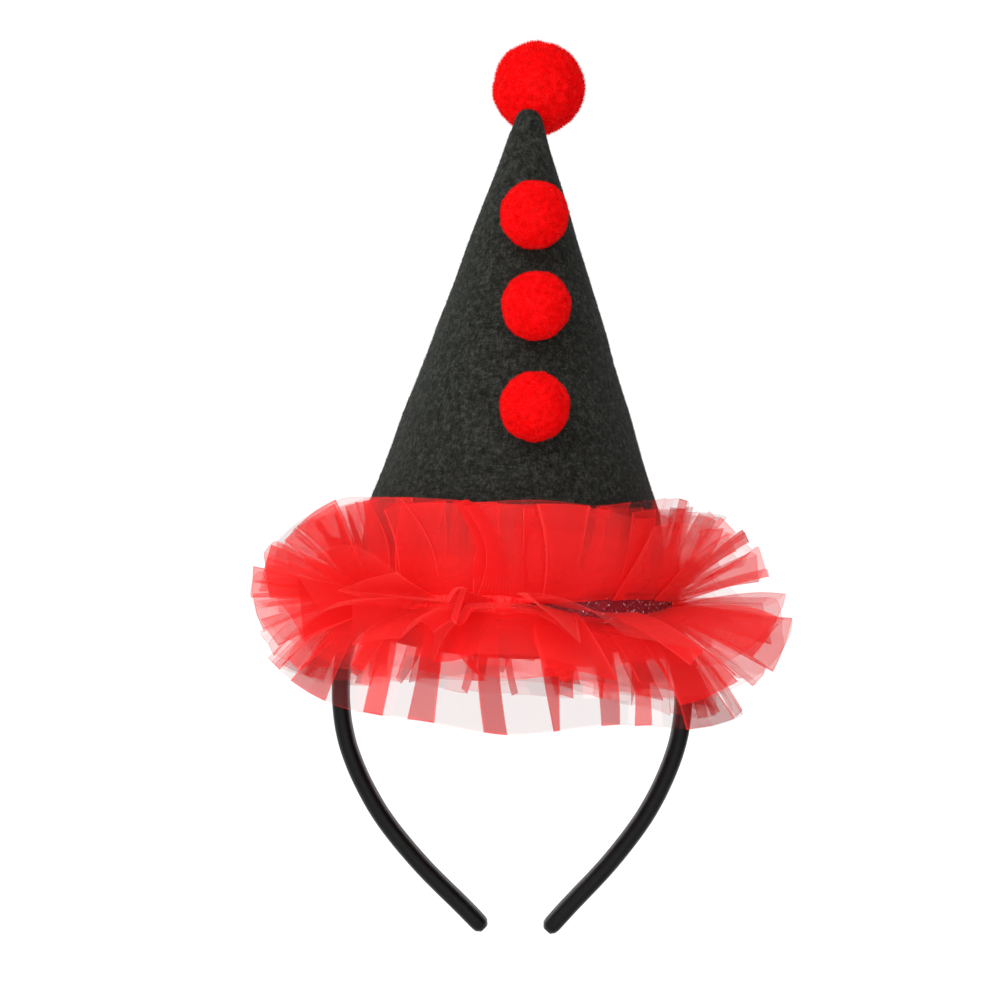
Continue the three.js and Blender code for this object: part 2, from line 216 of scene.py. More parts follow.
class Wiring:
    """A hand at wiring the nodes of one material around its Principled node."""

    def __init__(self, name: str) -> None:
        """Starts a material of that name."""
        self.material = bpy.data.materials.new(name)
        self.material.use_nodes = True
        self.nodes = self.material.node_tree.nodes
        self.links = self.material.node_tree.links
        self.skin = self.nodes["Principled BSDF"]

    def set(self, **values: object) -> None:
        """Sets sockets of the Principled node, with underscores for spaces."""
        for socket, value in values.items():
            self.skin.inputs[socket.replace("_", " ")].default_value = value

    def add(self, kind: str, inputs: dict[str, object] | None = None, **settings: object) -> bpy.types.Node:
        """Adds a node.

        Args:
            kind: The node's type.
            inputs: Values or sockets by input name.
            settings: The node's own properties.

        Returns:
            The node.
        """
        node = self.nodes.new(kind)
        for setting, value in settings.items():
            setattr(node, setting, value)
        for socket, value in (inputs or {}).items():
            if isinstance(value, bpy.types.NodeSocket):
                self.links.new(value, node.inputs[socket])
            else:
                node.inputs[socket].default_value = value
        return node

    def place(self, which: str = "Object", scale: Sequence[float] = (1, 1, 1),
              turn: Sequence[float] = (0, 0, 0)) -> bpy.types.NodeSocket:
        """Returns the object's or the UV map's coordinates, scaled and turned."""
        source = self.add("ShaderNodeTexCoord").outputs[which]
        mapped = self.add("ShaderNodeMapping", {"Vector": source, "Scale": scale, "Rotation": turn})
        return mapped.outputs["Vector"]

    def noise(self, place: bpy.types.NodeSocket, size: float, detail: float = 2,
              distortion: float = 0) -> bpy.types.NodeSocket:
        """Returns noise whose features are about size metres across."""
        values = {"Vector": place, "Scale": 1 / size, "Detail": detail, "Distortion": distortion}
        return self.add("ShaderNodeTexNoise", values).outputs["Fac"]

    def ramp(self, factor: bpy.types.NodeSocket,
             stops: Sequence[tuple[float, Colour]]) -> bpy.types.NodeSocket:
        """Returns colours picked from stops by a factor."""
        node = self.add("ShaderNodeValToRGB", {"Fac": factor})
        band = node.color_ramp
        while len(band.elements) < len(stops):
            band.elements.new(0.5)
        for element, (position, colour) in zip(band.elements, stops):
            element.position = position
            element.color = (*colour, 1)
        return node.outputs["Color"]

    def sum(self, first: bpy.types.NodeSocket, second: bpy.types.NodeSocket,
            share: float) -> bpy.types.NodeSocket:
        """Returns the first factor mixed with a share of the second."""
        node = self.add("ShaderNodeMix", {"Factor": share})
        self.links.new(first, node.inputs[2])
        self.links.new(second, node.inputs[3])
        return node.outputs[0]

    def colour(self, socket: bpy.types.NodeSocket) -> None:
        """Lets a socket set the base colour."""
        self.links.new(socket, self.skin.inputs["Base Color"])

    def bump(self, height: bpy.types.NodeSocket, depth: float, strength: float = 1) -> None:
        """Lets a height bump the surface by about depth metres."""
        node = self.add("ShaderNodeBump", {"Height": height, "Distance": depth, "Strength": strength})
        self.links.new(node.outputs["Normal"], self.skin.inputs["Normal"])


@dataclass(frozen=True)
class FeltFinish:
    """Charcoal craft felt: short fibres pressed every way, with a mottled grain."""

    dark: Colour = (0.007, 0.0075, 0.0062)
    middle: Colour = (0.018, 0.0195, 0.0165)
    pale: Colour = (0.046, 0.049, 0.042)
    fibre: float = 0.8 * MM
    mottle: float = 2.2 * MM
    depth: float = 0.35 * MM

    def material(self) -> bpy.types.Material:
        """Returns the felt's material."""
        wiring = Wiring("felt")
        along = wiring.noise(wiring.place(scale=(1, 1, 0.25), turn=(0.5, 0.3, 0)), self.fibre, 4, 1.2)
        across = wiring.noise(wiring.place(scale=(0.3, 1, 1), turn=(0, 0.9, 0.6)), self.fibre, 4, 1.2)
        fibres = wiring.sum(along, across, 0.5)
        mottled = wiring.sum(fibres, wiring.noise(wiring.place(), self.mottle, 3), 0.3)
        wiring.colour(wiring.ramp(mottled, [(0.4, self.dark), (0.5, self.middle), (0.61, self.pale)]))
        wiring.bump(fibres, self.depth)
        wiring.set(Roughness=0.95, Sheen_Weight=0.06, Sheen_Roughness=0.5, Sheen_Tint=(0.7, 0.75, 0.72, 1))
        wiring.skin.inputs["Specular IOR Level"].default_value = 0.06
        return wiring.material

    def fibre_material(self) -> bpy.types.Material:
        """Returns the material of the loose fibres on the felt, some pale and some dark."""
        wiring = Wiring("felt_fibres")
        tones = wiring.noise(wiring.place(), 1.5 * MM, 1)
        stops = [(0.42, self.middle), (0.55, self.pale), (0.7, (0.12, 0.125, 0.112))]
        wiring.colour(wiring.ramp(tones, stops))
        wiring.set(Roughness=0.9)
        wiring.skin.inputs["Specular IOR Level"].default_value = 0.1
        return wiring.material


@dataclass(frozen=True)
class SatinFinish:
    """Black satin ribbon, with fine threads that run along the band."""

    black: Colour = (0.0015, 0.0015, 0.0018)
    worn: Colour = (0.005, 0.005, 0.006)
    thread: float = 0.5 * MM

    def material(self) -> bpy.types.Material:
        """Returns the satin's material, which follows the band's UV map."""
        wiring = Wiring("satin")
        threads = wiring.noise(wiring.place("UV", scale=(0.05, 1, 1)), self.thread, 3)
        puckers = wiring.noise(wiring.place("UV", scale=(1, 0.35, 1)), 3 * MM, 2, 0.6)
        wiring.colour(wiring.ramp(threads, [(0.35, self.black), (0.75, self.worn)]))
        wiring.bump(wiring.sum(threads, puckers, 0.6), 0.25 * MM)
        wiring.set(Roughness=0.36)
        wiring.skin.inputs["Specular IOR Level"].default_value = 0.13
        return wiring.material


@dataclass(frozen=True)
class TulleFinish:
    """Fine red net in a run of densities, from one sheer ply to a thick gather.

    Attributes:
        clear: The colour of the sheerest ply, which is given no painted glow and no sheen.
        red: The colour of a ply that is seen as red.
        deep: The colour of a thick gather.
        lit: The colour of a fold's edge, painted lighter than the net's own red as a highlight where the fold
            catches the light.
        cell: The size of the net's cells.
        veil: How much of the light the sheerest ply stops.
        sheerest: Where the run of densities starts, which the sheerest ply is counted at.
        step: How much each density stops more than the one before.
        levels: How many densities there are.
        side_sheer: How much one smooth ply stops at the hat's sides.
        side_folded: The same where a pleat folds back.
        edge: The same along a fold's edge.
        gathered: The same at the gathers.
        hem: How much more the hem stops.
        glow: How strongly the net glows, a painted glow that stands in for light passed on through the threads
            from behind.
    """

    clear: Colour = (0.26, 0.055, 0.055)
    red: Colour = (0.92, 0.055, 0.052)
    deep: Colour = (0.77, 0.001, 0.005)
    lit: Colour = (0.94, 0.075, 0.07)
    cell: float = 0.75 * MM
    veil: float = 0.27
    sheerest: float = 0.13
    step: float = 0.075
    levels: int = 10
    side_sheer: float = 0.25
    side_folded: float = 0.44
    edge: float = 0.54
    gathered: float = 0.66
    hem: float = 0.08
    glow: float = 0.15

    def level(self, alpha: np.ndarray) -> np.ndarray:
        """Returns the numbers of the densities that are nearest to some alphas."""
        return np.clip(np.rint((alpha - self.sheerest) / self.step), 0, self.levels - 1).astype(int)

    def materials(self) -> list[bpy.types.Material]:
        """Returns a material for each density and last the one for the folds' edges, which is dense and painted
        lighter as a highlight.
        """
        nets = [self.net("tulle_veil", self.clear, self.veil, shine=0)]
        for number in range(1, self.levels):
            thread = self.thread(number / (self.levels - 1))
            nets.append(self.net(f"tulle_density_{number}", thread, self.sheerest + self.step * number))
        # The folds' edges take the lit colour, a painted highlight.
        return [*nets, self.net("tulle_fold_edge_highlight", self.lit, self.edge)]

    def thread(self, share: float) -> Colour:
        """Returns the colour of the threads at a share of the way from sheer to dense."""
        stops = (0, 0.15, 1)
        channels = zip(self.clear, self.red, self.deep)
        return tuple(float(np.interp(share, stops, channel)) for channel in channels)

    def net(self, name: str, thread: Colour, alpha: float, shine: float = 1) -> bpy.types.Material:
        """Returns a net that follows the ply's UV map.

        Args:
            name: The material's name.
            thread: The colour of its threads.
            alpha: How much of the light it stops.
            shine: How much of the painted glow and of the sheen it has.
        """
        wiring = Wiring(name)
        hole = (thread[0] * 0.84, thread[1] * 0.4, thread[2] * 0.4)
        cells = wiring.add("ShaderNodeTexVoronoi", {
            "Vector": wiring.place("UV"), "Scale": 1 / self.cell, "Randomness": 0.3,
        }, feature="DISTANCE_TO_EDGE", voronoi_dimensions="2D")
        mesh = cells.outputs["Distance"]
        wiring.colour(wiring.ramp(mesh, [(0.04, thread), (0.2, hole)]))
        wiring.bump(mesh, 0.12 * MM, 0.4)
        # The red emission is a painted glow, standing in for light passed on through the net.
        wiring.set(Alpha=alpha, Roughness=0.65, Sheen_Weight=0.22 * shine, Sheen_Roughness=0.4,
                   Sheen_Tint=(1, 0.3, 0.26, 1), Emission_Color=(1, 0.01, 0.012, 1),
                   Emission_Strength=self.glow * shine)
        wiring.skin.inputs["Specular IOR Level"].default_value = 0.15
        return wiring.material

    def cord(self) -> bpy.types.Material:
        """Returns the material of net that is rolled and drawn together until nothing shows through."""
        wiring = Wiring("tulle_cord")
        puckers = wiring.noise(wiring.place(scale=(1, 1, 0.4)), 1.2 * MM, 3)
        wiring.colour(wiring.ramp(puckers, [(0.35, self.deep), (0.7, self.red)]))
        wiring.bump(puckers, 0.4 * MM)
        # The red emission is a painted glow.
        wiring.set(Roughness=0.65, Emission_Color=(1, 0.01, 0.012, 1), Emission_Strength=self.glow)
        wiring.skin.inputs["Specular IOR Level"].default_value = 0.15
        return wiring.material


@dataclass(frozen=True)
class PompomFinish:
    """Clipped red yarn."""

    deep: Colour = (0.66, 0.0005, 0.001)
    red: Colour = (0.80, 0.001, 0.002)
    pale: Colour = (0.88, 0.006, 0.008)
    clump: float = 2.2 * MM

    def material(self) -> bpy.types.Material:
        """Returns the yarn's material, with a faint painted glow that lifts its self-shadowed strands."""
        wiring = Wiring("pompom_yarn")
        clumps = wiring.noise(wiring.place(), self.clump, 3)
        wiring.colour(wiring.ramp(clumps, [(0.3, self.deep), (0.52, self.red), (0.75, self.pale)]))
        wiring.bump(clumps, 0.2 * MM)
        # The red emission is a faint painted glow.
        wiring.set(Roughness=0.85, Sheen_Weight=0.5, Sheen_Roughness=0.3, Sheen_Tint=(1, 0.3, 0.28, 1),
                   Emission_Color=(1, 0.0, 0.002, 1), Emission_Strength=0.07)
        wiring.skin.inputs["Specular IOR Level"].default_value = 0.05
        return wiring.material


@dataclass(frozen=True)
class GlitterFinish:
    """Dark red ribbon and the flakes of glitter strewn on it."""

    ribbon: Colour = (0.20, 0.006, 0.014)
    ribbon_pale: Colour = (0.36, 0.014, 0.024)
    flake: Colour = (0.34, 0.008, 0.03)
    flake_pale: Colour = (0.95, 0.86, 0.86)

    def ribbon_material(self) -> bpy.types.Material:
        """Returns the material of the ribbon itself."""
        wiring = Wiring("glitter_ribbon")
        grain = wiring.noise(wiring.place(), 0.8 * MM, 3)
        wiring.colour(wiring.ramp(grain, [(0.35, self.ribbon), (0.7, self.ribbon_pale)]))
        wiring.bump(grain, 0.2 * MM)
        wiring.set(Roughness=0.5)
        return wiring.material

    def flake_material(self) -> bpy.types.Material:
        """Returns the material of the flakes, some of which are silvery."""
        wiring = Wiring("glitter_flakes")
        mixed = wiring.noise(wiring.place(), 1.2 * MM, 0)
        wiring.colour(wiring.ramp(mixed, [(0.6, self.flake), (0.66, self.flake_pale)]))
        wiring.set(Roughness=0.28, Metallic=0.85)
        return wiring.material


@dataclass
class Nap:
    """Short strands that stand on the marked faces of a surface.

    Attributes:
        density: Strands a square metre.
        shortest: The shortest strand.
        longest: The longest strand.
        thickness: A strand's radius at its foot.
        blunt: A strand's radius at its tip, as a share of that at its foot.
        upright: The least that a strand leans from upright, in radians.
        lean: The most that it leans.
        seed: What the scatter starts from.
    """

    density: float
    shortest: float
    longest: float
    thickness: float
    blunt: float
    upright: float
    lean: float
    seed: int
    MARK = "napped"
    STRAND = "strand"

    def strand(self) -> bpy.types.Object:
        """Returns one strand, a metre long and standing on the origin, that the scatter scales."""
        deselect()
        bpy.ops.mesh.primitive_cone_add(
            vertices=3, radius1=1, radius2=self.blunt, depth=1, location=(0, 0, 0.5),
            end_fill_type="NOTHING")
        strand = bpy.context.object
        apply_place(strand)
        faces = strand.data.attributes.new(self.STRAND, "BOOLEAN", "FACE")
        faces.data.foreach_set("value", [True] * len(strand.data.polygons))
        return strand

    def part_from(self, obj: bpy.types.Object) -> bpy.types.Object:
        """Takes the strands off a napped object and returns them as an object of their own."""
        pick(obj)
        for face, strand in zip(obj.data.polygons, obj.data.attributes[self.STRAND].data):
            face.select = strand.value
        bpy.ops.object.mode_set(mode="EDIT")
        bpy.ops.mesh.select_mode(type="FACE")
        bpy.ops.mesh.separate(type="SELECTED")
        bpy.ops.object.mode_set(mode="OBJECT")
        (strands,) = set(bpy.context.selected_objects) - {obj}
        return strands

    def dress_both(self, obj: bpy.types.Object, body: bpy.types.Material,
                   strands: bpy.types.Material) -> None:
        """Gives a napped object one material for its body and another for its strands."""
        dress(obj, body, strands)
        slots = [int(face.value) for face in obj.data.attributes[self.STRAND].data]
        obj.data.polygons.foreach_set("material_index", slots)

    def grow(self, body: bpy.types.Object, wanted: Callable[[Vector, Vector], bool]) -> None:
        """Grows the strands on a body and fuses them into its mesh.

        Args:
            body: The object that they stand on.
            wanted: Says of a face's centre and normal whether strands stand on it.
        """
        marks = body.data.attributes.new(self.MARK, "BOOLEAN", "FACE")
        marks.data.foreach_set("value", [wanted(f.center, f.normal) for f in body.data.polygons])
        strand = self.strand()
        tree = bpy.data.node_groups.new("nap", "GeometryNodeTree")
        tree.interface.new_socket("Geometry", in_out="INPUT", socket_type="NodeSocketGeometry")
        tree.interface.new_socket("Geometry", in_out="OUTPUT", socket_type="NodeSocketGeometry")
        add, link = tree.nodes.new, tree.links.new
        given, made = add("NodeGroupInput"), add("NodeGroupOutput")
        mark = add("GeometryNodeInputNamedAttribute")
        mark.data_type = "BOOLEAN"
        mark.inputs["Name"].default_value = self.MARK
        scatter = add("GeometryNodeDistributePointsOnFaces")
        scatter.inputs["Density"].default_value = self.density
        scatter.inputs["Seed"].default_value = self.seed
        leans = self.random_vector(tree, (self.upright, 0, 0), (self.lean, 0, FULL_TURN), self.seed + 1)
        euler = add("FunctionNodeEulerToRotation")
        turned = add("FunctionNodeRotateRotation")
        turned.rotation_space = "LOCAL"
        low = (self.thickness * 0.8, self.thickness * 0.8, self.shortest)
        high = (self.thickness * 1.2, self.thickness * 1.2, self.longest)
        sizes = self.random_vector(tree, low, high, self.seed + 2)
        source = add("GeometryNodeObjectInfo")
        source.inputs["Object"].default_value = strand
        stand = add("GeometryNodeInstanceOnPoints")
        real = add("GeometryNodeRealizeInstances")
        fuse = add("GeometryNodeJoinGeometry")
        link(given.outputs[0], scatter.inputs["Mesh"])
        link(mark.outputs["Attribute"], scatter.inputs["Selection"])
        link(leans, euler.inputs["Euler"])
        link(scatter.outputs["Rotation"], turned.inputs["Rotation"])
        link(euler.outputs["Rotation"], turned.inputs["Rotate By"])
        link(scatter.outputs["Points"], stand.inputs["Points"])
        link(source.outputs["Geometry"], stand.inputs["Instance"])
        link(turned.outputs["Rotation"], stand.inputs["Rotation"])
        link(sizes, stand.inputs["Scale"])
        link(stand.outputs["Instances"], real.inputs["Geometry"])
        link(real.outputs["Geometry"], fuse.inputs["Geometry"])
        link(given.outputs[0], fuse.inputs["Geometry"])
        link(fuse.outputs["Geometry"], made.inputs[0])
        pick(body)
        modifier = body.modifiers.new("nap", "NODES")
        modifier.node_group = tree
        bpy.ops.object.modifier_apply(modifier=modifier.name)
        bpy.data.objects.remove(strand)
        bpy.data.node_groups.remove(tree)

    def random_vector(self, tree: bpy.types.NodeTree, low: Sequence[float], high: Sequence[float],
                      seed: int) -> bpy.types.NodeSocket:
        """Returns a random vector between two others, different for each strand."""
        node = tree.nodes.new("FunctionNodeRandomValue")
        node.data_type = "FLOAT_VECTOR"
        node.inputs["Min"].default_value = low
        node.inputs["Max"].default_value = high
        node.inputs["Seed"].default_value = seed
        return node.outputs["Value"]


@dataclass
class FeltCone:
    """The felt hat: a hollow cone with a domed tip, a lapped seam behind and a gap at each side for the band.

    Attributes:
        height: From rim to tip.
        rim_radius: The outer radius at the rim.
        rim_below_seat: How far the rim lies below the head seat.
        saddle: How far the rim rises at the sides.
        wall: The felt's thickness.
        columns: Faces round the cone.
        step: The height of a row of faces.
        seam_half_turn: Half of the seam's width, in radians.
        gap_half_width: Half of the gap that lets the band through.
        gap_top: The gap's top, over the head seat.
    """

    height: float = 194.5 * MM
    rim_radius: float = 57.6 * MM
    rim_below_seat: float = 30 * MM
    saddle: float = 7 * MM
    wall: float = 1.8 * MM
    columns: int = 128
    step: float = 4 * MM
    seam_half_turn: float = math.radians(7)
    gap_half_width: float = 5.1 * MM
    gap_top: float = -9 * MM
    # Shares of the height and of the rim's radius
    SECTIONS = ((0, 1), (0.095, 0.966), (0.19, 0.942), (0.262, 0.91), (0.36, 0.792),
                (0.6, 0.518), (0.76, 0.335), (0.952, 0.117), (0.982, 0.085), (0.994, 0.066), (1, 0.045))

    def radius(self, z: float) -> float:
        """Returns the felt's outer radius at a height over the head seat."""
        heights, radii = zip(*self.SECTIONS)
        share = (z + self.rim_below_seat) / self.height
        return float(np.interp(share, heights, radii)) * self.rim_radius

    def front_pompom_place(self, share: float, azimuth: float, out: float) -> Vector:
        """Returns a point off the leaning felt.

        Args:
            share: How high it is, as a share of the hat's height.
            azimuth: How far round from the front, in degrees.
            out: How far off the felt.
        """
        z = share * self.height - self.rim_below_seat
        return HAT_TURN @ round_point(self.radius(z) + out, math.radians(azimuth), z)

    def heights(self) -> list[float]:
        """Returns the heights of the rows, which take in every section."""
        rows = {round(share * self.height, 6) for share, _ in self.SECTIONS}
        rows |= {round(i * self.step, 6) for i in range(1, int(self.height / self.step))}
        return [row - self.rim_below_seat for row in sorted(rows)]

    def draw_up(self) -> bpy.types.Object:
        """Returns the cone's skin, drawn up from its rim ring by ring."""
        rows = self.heights()
        deselect()
        bpy.ops.mesh.primitive_circle_add(
            vertices=self.columns, radius=self.radius(rows[0]), fill_type="NOTHING",
            location=(0, 0, rows[0]))
        cone = bpy.context.object
        apply_place(cone)
        bpy.ops.object.mode_set(mode="EDIT")
        bpy.ops.mesh.select_all(action="SELECT")
        for below, row in zip(rows, rows[1:]):
            bpy.ops.mesh.extrude_region_move(TRANSFORM_OT_translate={"value": (0, 0, row - below)})
            share = self.radius(row) / self.radius(below)
            bpy.ops.transform.resize(value=(share, share, 1), center_override=(0, 0, row))
        bpy.ops.mesh.extrude_region_move(TRANSFORM_OT_translate={"value": (0, 0, 0.2 * MM)})
        bpy.ops.mesh.merge(type="CENTER")
        bpy.ops.mesh.select_all(action="SELECT")
        bpy.ops.mesh.normals_make_consistent(inside=False)
        bpy.ops.object.mode_set(mode="OBJECT")
        number_again(cone)
        return cone

    def shape_by_hand(self, cone: bpy.types.Object) -> None:
        """Curves the rim to a saddle and gives the felt its slight unevenness."""
        bottom = -self.rim_below_seat
        reach = 0.095 * self.height
        for vertex in cone.data.vertices:
            p = vertex.co
            side = p.x * p.x / max(p.x * p.x + p.y * p.y, 1e-12)
            p.z += self.saddle * side * max(0, 1 - (p.z - bottom) / reach)
            wave = noise.noise(p / (22 * MM)) * 0.5 * MM + noise.noise(p / (8 * MM)) * 0.15 * MM
            out = Vector((p.x, p.y, 0))
            if out.length > 6 * MM:
                vertex.co += out.normalized() * wave

    def in_gap(self, centre: Vector, normal: Vector) -> bool:
        """Says whether a face lies in one of the band's two gaps."""
        return abs(centre.y) < self.gap_half_width and centre.z < self.gap_top

    def on_seam(self, centre: Vector, normal: Vector) -> bool:
        """Says whether a face lies under the seam's lap."""
        return centre.y > 0 and abs(math.atan2(centre.x, centre.y)) < self.seam_half_turn

    def lap(self, cone: bpy.types.Object) -> bpy.types.Object:
        """Returns the seam's lap, lifted off the cone's back as a strip with its own thickness."""
        before = set(bpy.data.objects)
        select_faces(cone, self.on_seam)
        bpy.ops.mesh.duplicate()
        bpy.ops.mesh.separate(type="SELECTED")
        bpy.ops.object.mode_set(mode="OBJECT")
        (strip,) = set(bpy.data.objects) - before
        apply_modifier(strip, "SOLIDIFY", thickness=self.wall * 0.8, offset=1, use_even_offset=True)
        apply_modifier(strip, "BEVEL", width=0.35 * MM, segments=2, angle_limit=math.radians(50))
        return strip

    def build(self) -> bpy.types.Object:
        """Builds and dresses the felt cone."""
        cone = self.draw_up()
        select_faces(cone, self.in_gap)
        bpy.ops.mesh.delete(type="FACE")
        bpy.ops.object.mode_set(mode="OBJECT")
        self.shape_by_hand(cone)
        strip = self.lap(cone)
        apply_modifier(cone, "SOLIDIFY", thickness=self.wall, offset=-1, use_even_offset=True)
        apply_modifier(cone, "BEVEL", width=0.3 * MM, segments=2, angle_limit=math.radians(50))
        cone = join([cone, strip])
        smooth(cone, 40)
        fuzz = Nap(7.5e5, 0.8 * MM, 2.3 * MM, 0.05 * MM, 0, 1.2, 1.5, seed=11)
        fuzz.grow(cone, lambda centre, normal: normal.dot(Vector((centre.x, centre.y, 0))) > 0)
        apply_place(cone, HAT_TURN)
        fibres = fuzz.part_from(cone)
        finish = FeltFinish()
        dress(cone, finish.material())
        dress(fibres, finish.fibre_material())
        hand_over(cone, "felt_cone", Slot.FELT, ["hat_cone"])
        hand_over(fibres, "felt_fibres", Slot.FELT)
        return cone


@dataclass
class SatinBand:
    """The headband: a slim padded band wound in satin, bent to grip the head.

    Attributes:
        half_span: From the middle to the band's own middle line, at its widest.
        drop: From crown to tip along the head's height.
        thickness: The band's thickness, towards the head.
        width: The band's width, from front to back.
        left_shorter: How much shorter the left leg is.
        tips_aside: How far both tips swing towards the wearer's left.
        power: How square the section is, where 2 is an ellipse.
        sides: Points round the section.
        steps: Points along the band.
    """

    half_span: float = 61.7 * MM
    drop: float = 134 * MM
    thickness: float = 6.2 * MM
    width: float = 9.5 * MM
    left_shorter: float = 1.2 * MM
    tips_aside: float = 1.7 * MM
    power: float = 2.6
    sides: int = 28
    steps: int = 260
    tip_length: float = 4 * MM
    tip_share: float = 0.55
    # Half of the middle line from the crown to a tip: shares of the half span and of the drop
    LINE = ((0, 0), (0.26, 0.008), (0.5, 0.035), (0.7, 0.08), (0.85, 0.139), (0.95, 0.21), (1, 0.33),
            (0.985, 0.453), (0.925, 0.551), (0.784, 0.681), (0.569, 0.811), (0.3, 0.94), (0.177, 1))

    def middle_line(self) -> np.ndarray:
        """Returns evenly spaced points of the middle line, from the left tip to the right tip."""
        crown = self.thickness / 2
        half = np.array(self.LINE)
        sides = np.concatenate([half[:0:-1] * (-1, 1), half])
        aside = self.tips_aside * sides[:, 1] ** 3
        knots = np.column_stack([sides[:, 0] * self.half_span + aside, crown - sides[:, 1] * self.drop])
        spans = np.sqrt(np.linalg.norm(np.diff(knots, axis=0), axis=1))
        knots = np.vstack([2 * knots[0] - knots[1], knots, 2 * knots[-1] - knots[-2]])
        spans = np.concatenate([spans[:1], spans, spans[-1:]])
        fine = []
        for i in range(1, len(knots) - 2):
            fine.extend(self.centripetal(knots[i - 1:i + 3], spans[i - 1:i + 2], s) for s in np.arange(0, 1, 0.05))
        fine = np.array([*fine, knots[-2]])
        run = np.concatenate([[0], np.cumsum(np.linalg.norm(np.diff(fine, axis=0), axis=1))])
        wanted = np.linspace(self.left_shorter, run[-1], self.steps)
        return np.column_stack([np.interp(wanted, run, fine[:, 0]), np.interp(wanted, run, fine[:, 1])])

    def centripetal(self, knots: np.ndarray, spans: np.ndarray, share: float) -> np.ndarray:
        """Returns a point of the smooth curve through four knots, between the middle two."""
        a, b, c, d = knots
        before, here, after = spans
        leave = ((b - a) / before - (c - a) / (before + here) + (c - b) / here) * here
        arrive = ((c - b) / here - (d - b) / (here + after) + (d - c) / after) * here
        s2, s3 = share * share, share ** 3
        return (b * (2 * s3 - 3 * s2 + 1) + leave * (s3 - 2 * s2 + share) + c * (3 * s2 - 2 * s3)
                + arrive * (s3 - s2))

    def section(self) -> list[tuple[float, float]]:
        """Returns the section as offsets across the band and away from the head, with the ribbon's lap inside."""
        points = []
        for i in range(self.sides):
            angle = FULL_TURN * i / self.sides
            c, s = math.cos(angle), math.sin(angle)
            across = math.copysign(abs(c) ** (2 / self.power), c) * self.width / 2
            away = math.copysign(abs(s) ** (2 / self.power), s) * self.thickness / 2
            lap = 0.3 * MM if s < -0.5 and c > 0.06 else 0
            points.append((across, away - lap))
        return points

    def build(self) -> bpy.types.Object:
        """Builds and dresses the headband as one closed tube with flattened, folded tips."""
        line = self.middle_line()
        along = np.gradient(line, axis=0)
        along /= np.linalg.norm(along, axis=1)[:, None]
        run = np.concatenate([[0], np.cumsum(np.linalg.norm(np.diff(line, axis=0), axis=1))])
        section = self.section()
        points = []
        for i, (x, z) in enumerate(line):
            from_end = min(run[i], run[-1] - run[i])
            nearness = 1 - min(1, from_end / self.tip_length)
            tip = self.tip_share + (1 - self.tip_share) * math.sqrt(1 - nearness ** 2)
            pucker = 0.25 * MM * max(0, 1 - from_end / (9 * MM))
            for j, (across, away) in enumerate(section):
                swell = 1 + 0.012 * noise.noise(Vector((run[i] / (6 * MM), j * 0.4, 0)))
                ripple = pucker * noise.noise(Vector((j * 0.9, run[i] / (2.5 * MM), 3)))
                reach = away * tip * swell + ripple
                out = Vector((-along[i][1], 0, along[i][0])) * reach
                points.append((x + out.x, across * tip * swell, z + out.z))
        sides = self.sides
        faces = [
            (i * sides + j, i * sides + (j + 1) % sides, (i + 1) * sides + (j + 1) % sides,
             (i + 1) * sides + j)
            for i in range(len(line) - 1) for j in range(sides)
        ]
        faces += [tuple(range(sides))[::-1], tuple(range((len(line) - 1) * sides, len(line) * sides))]
        band = mesh_object("satin_band", np.array(points), faces)
        self.unwrap(band, run)
        pick(band)
        bpy.ops.object.mode_set(mode="EDIT")
        bpy.ops.mesh.select_all(action="SELECT")
        bpy.ops.mesh.normals_make_consistent(inside=False)
        bpy.ops.object.mode_set(mode="OBJECT")
        smooth(band, 50)
        dress(band, SatinFinish().material())
        return hand_over(band, "satin_band", Slot.SATIN, ["headband"])

    def unwrap(self, band: bpy.types.Object, run: np.ndarray) -> None:
        """Gives the band a UV map in metres, along and round it."""
        girth = 2 * (self.width + self.thickness)
        uv = band.data.uv_layers.new(name="ribbon")
        for face in band.data.polygons:
            columns = [band.data.loops[i].vertex_index % self.sides for i in face.loop_indices]
            wraps = max(columns) - min(columns) > self.sides / 2
            for i, column in zip(face.loop_indices, columns):
                row = band.data.loops[i].vertex_index // self.sides
                turn = column + (self.sides if wraps and column < self.sides / 2 else 0)
                uv.data[i].uv = (run[row], turn / self.sides * girth)


